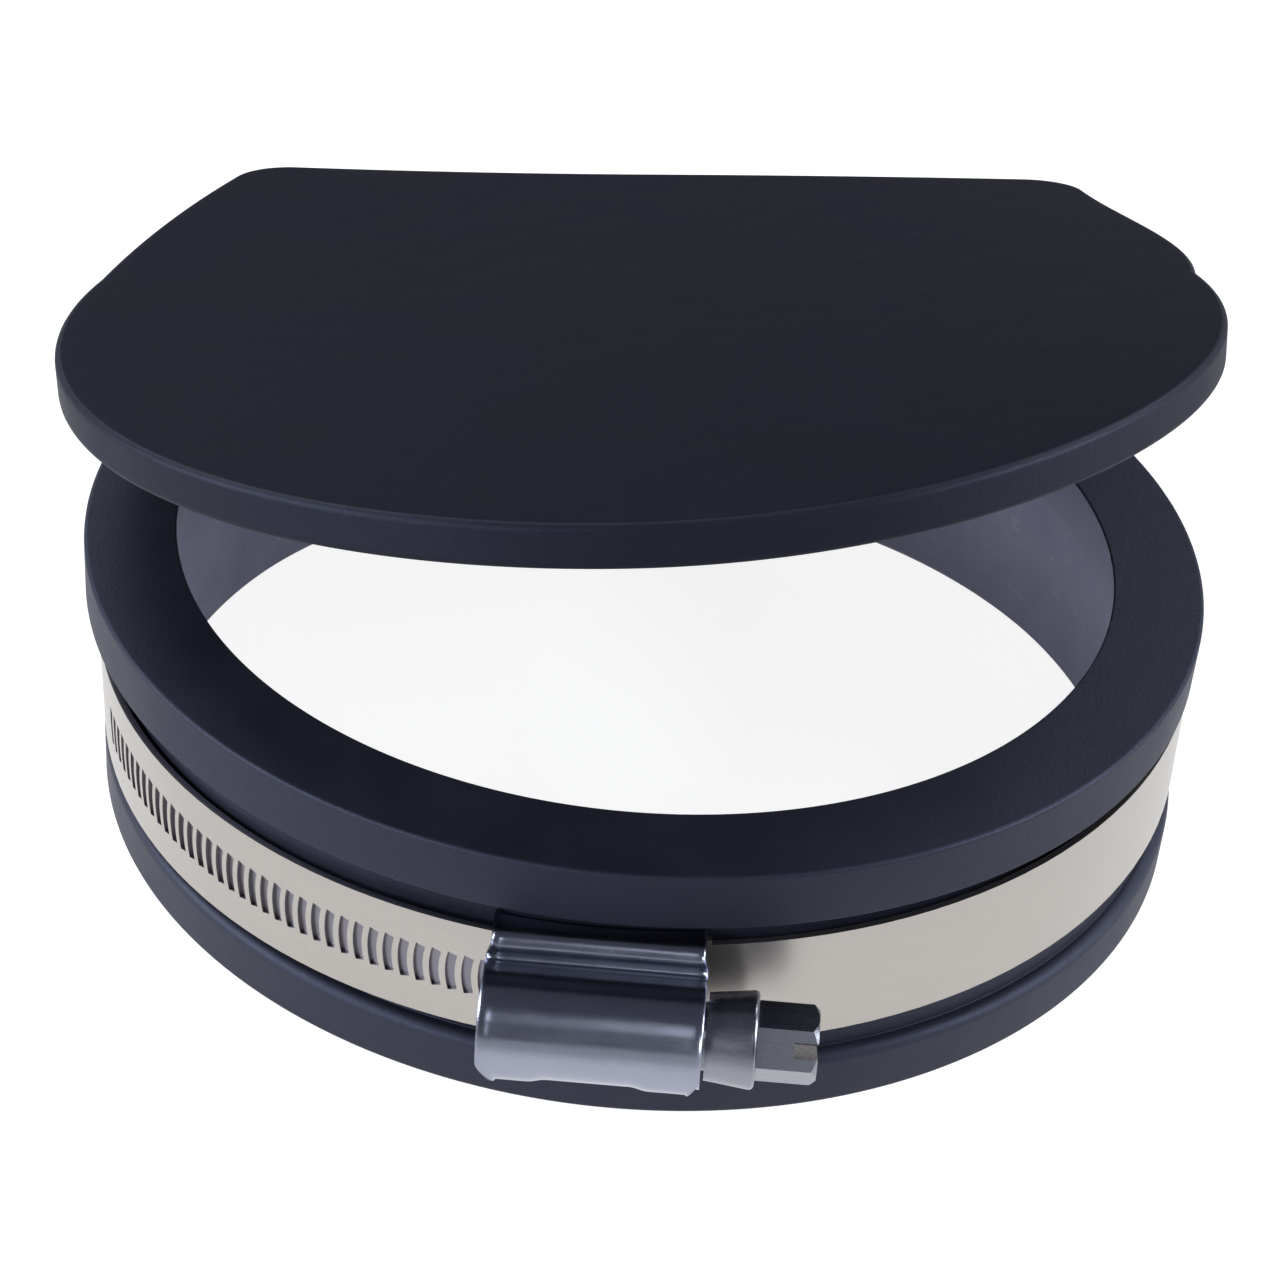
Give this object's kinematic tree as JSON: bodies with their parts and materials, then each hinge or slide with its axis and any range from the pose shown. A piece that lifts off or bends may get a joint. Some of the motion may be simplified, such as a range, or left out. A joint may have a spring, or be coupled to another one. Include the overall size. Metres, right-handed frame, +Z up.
{
  "type": "rubber flap valve with band clamp",
  "caption": "Rubber cuff for a pipe end with a hinged rubber flap standing ajar, held by a stainless worm-drive band clamp.",
  "frame": {"origin": "centre of the pipe bore, on the cuff's bottom face", "axes": "+Z up the bore towards the flap, +Y towards the hinge, +X the way the clamp screw's head points"},
  "size_m": [0.1322, 0.1478, 0.0681],
  "materials": {
    "rubber": "matt moulded",
    "band_steel": "satin rolled",
    "housing_steel": "polished"
  },
  "bodies": {
    "cuff_body": {"cuff": "rubber", "band_strip": "band_steel", "clamp_saddle": "band_steel", "clamp_housing": "housing_steel"},
    "hinge_web": {"hinge_strap": "rubber"},
    "flap_body": {"flap": "rubber"},
    "tail_body": {"band_tail": "band_steel"},
    "screw_body": {"worm_screw": "housing_steel"}
  },
  "joints": [
    {"name": "flap_hinge", "type": "hinge", "parent": "cuff_body", "child": "hinge_web", "pos_m": [0, 0.071, 0.0316], "axis": [-1, 0, 0], "range_deg": [-10.3, 75], "stiffness_Nm_per_rad": 1.5, "springref_deg": 1.78, "deforming": ["hinge_strap"]},
    {"name": "flap_twist", "type": "hinge", "parent": "hinge_web", "child": "flap_body", "pos_m": [-0.066, 0.071, 0.0316], "axis": [0, -0.9839, 0.1788], "range_deg": [-6.35, 3], "stiffness_Nm_per_rad": 1.5, "springref_deg": 1.78, "deforming": ["hinge_strap"]},
    {"name": "screw_turn", "type": "hinge", "parent": "cuff_body", "child": "screw_body", "pos_m": [-0.00153, -0.06753, 0.01536], "axis": [0.9994, -0.0227, 0.0279], "range_deg": [-720, 720]},
    {"name": "tail_travel", "type": "hinge", "parent": "cuff_body", "child": "tail_body", "pos_m": [0, 0, 0.0154], "axis": [-0.0279, 0, 0.9996], "range_deg": [-3.2, 3.2]}
  ],
  "couplings": [
    {"joint": "tail_travel", "follows": "screw_turn", "ratio": -0.004428}
  ]
}
